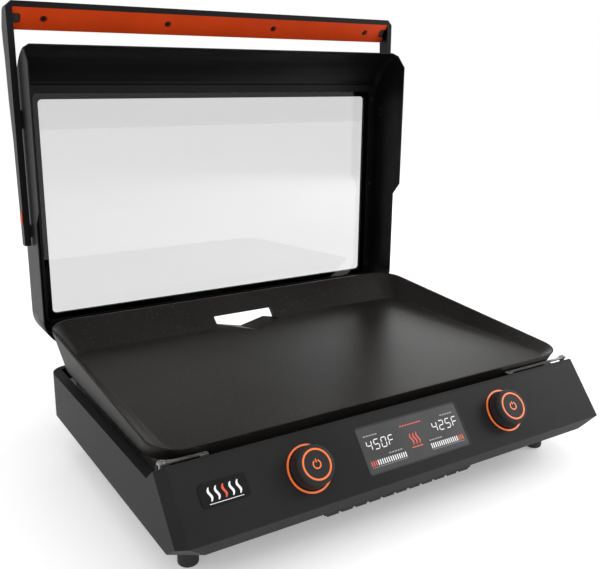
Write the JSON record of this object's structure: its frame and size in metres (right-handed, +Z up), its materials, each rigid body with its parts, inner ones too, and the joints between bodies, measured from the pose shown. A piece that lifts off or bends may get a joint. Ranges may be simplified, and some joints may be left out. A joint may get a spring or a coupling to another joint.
{
  "type": "electric griddle",
  "caption": "Tabletop electric griddle: sloped control panel with push-turn knobs and display, cast non-stick plate with rear drain, hinged hood with glass window and orange grip.",
  "frame": {"origin": "on the surface the feet stand on, under the middle of the whole object's box with the hood open", "axes": "+X to the user's right, +Y away from the user towards the hinges, +Z up"},
  "size_m": [0.6246, 0.5184, 0.588],
  "materials": {
    "base_coat": "satin powder coat, charcoal",
    "hood_coat": "satin powder coat, black",
    "plate_coating": "speckled non-stick ceramic coating on cast aluminium",
    "vent_plastic": "matt black",
    "foot_rubber": "matt black",
    "black_rubber": "matt black",
    "zinc_steel": "zinc-plated steel",
    "cup_steel": "brushed stainless steel",
    "element_sheath": "oxidised nickel-alloy sheath",
    "badge_plastic": "gloss black, blank",
    "display_face": "dark grey display window",
    "board_plastic": "moulded component plastic",
    "circuit_board": "green solder mask",
    "window_glass": "clear tempered glass",
    "black_screw": "black oxide steel",
    "orange_grip": "deep orange satin coat",
    "orange_light": "translucent orange, lit",
    "knob_plastic": "soft-touch black"
  },
  "bodies": {
    "base": {"badge": "badge_plastic", "base_shell": "base_coat", "board_standoffs": "zinc_steel", "bottom_pan": "base_coat", "bracket_posts": "zinc_steel", "control_board": "circuit_board", "cup_rail": "base_coat", "display_gasket": "black_rubber", "display_lens": "display_face", "display_module": "board_plastic", "element_clamps": "zinc_steel", "foot_front_left": "foot_rubber", "foot_front_right": "foot_rubber", "foot_rear_left": "foot_rubber", "foot_rear_right": "foot_rubber", "foot_screws": "zinc_steel", "front_bracket_left": "zinc_steel", "front_bracket_right": "zinc_steel", "griddle_plate": "plate_coating", "heat_shield": "zinc_steel", "heating_element_left": "element_sheath", "heating_element_right": "element_sheath", "hinge_bracket_left": "base_coat", "hinge_bracket_right": "base_coat", "hinge_pin_left": "zinc_steel", "hinge_pin_right": "zinc_steel", "left_encoder": "board_plastic", "left_light_ring": "orange_light", "pan_screws": "black_screw", "plate_supports": "zinc_steel", "power_board": "circuit_board", "power_inlet": "vent_plastic", "right_encoder": "board_plastic", "right_light_ring": "orange_light", "temperature_probe_left": "zinc_steel", "temperature_probe_right": "zinc_steel", "vent_grille": "vent_plastic"},
    "hood": {"hood_shell": "hood_coat", "window_glass": "window_glass", "window_gasket": "black_rubber", "window_frame": "hood_coat", "window_screws": "black_screw", "hinge_leaf_left": "hood_coat", "hinge_leaf_right": "hood_coat", "leaf_rivets": "zinc_steel", "handle_frame": "hood_coat", "handle_grip": "orange_grip", "grip_screws": "black_screw", "handle_rivets": "black_screw", "arm_accents": "orange_grip"},
    "grease_cup": {"grease_cup": "cup_steel"},
    "left_plunger": {"left_press_plunger": "zinc_steel"},
    "left_knob": {"left_knob_shaft": "zinc_steel", "left_knob": "knob_plastic", "left_knob_ring": "orange_light"},
    "right_plunger": {"right_press_plunger": "zinc_steel"},
    "right_knob": {"right_knob_shaft": "zinc_steel", "right_knob": "knob_plastic", "right_knob_ring": "orange_light"}
  },
  "joints": [
    {"name": "hood_hinge", "type": "hinge", "parent": "base", "child": "hood", "pos_m": [0, 0.20074, 0.1325], "axis": [1, 0, 0], "range_deg": [0, 90]},
    {"name": "left_knob_press", "type": "slide", "parent": "base", "child": "left_plunger", "axis": [0, 0.7752, -0.6317], "range_m": [0, 0.0012], "stiffness_N_per_m": 1500, "springref_m": -0.0015},
    {"name": "left_knob_turn", "type": "hinge", "parent": "left_plunger", "child": "left_knob", "pos_m": [-0.1444, -0.23228, 0.09968], "axis": [0, -0.7752, 0.6317], "continuous": true},
    {"name": "right_knob_press", "type": "slide", "parent": "base", "child": "right_plunger", "axis": [0, 0.7752, -0.6317], "range_m": [0, 0.0012], "stiffness_N_per_m": 1500, "springref_m": -0.0015},
    {"name": "right_knob_turn", "type": "hinge", "parent": "right_plunger", "child": "right_knob", "pos_m": [0.1444, -0.23228, 0.09968], "axis": [0, -0.7752, 0.6317], "continuous": true},
    {"name": "cup_slide", "type": "slide", "parent": "base", "child": "grease_cup", "axis": [0, 1, 0], "range_m": [0, 0.045]}
  ]
}
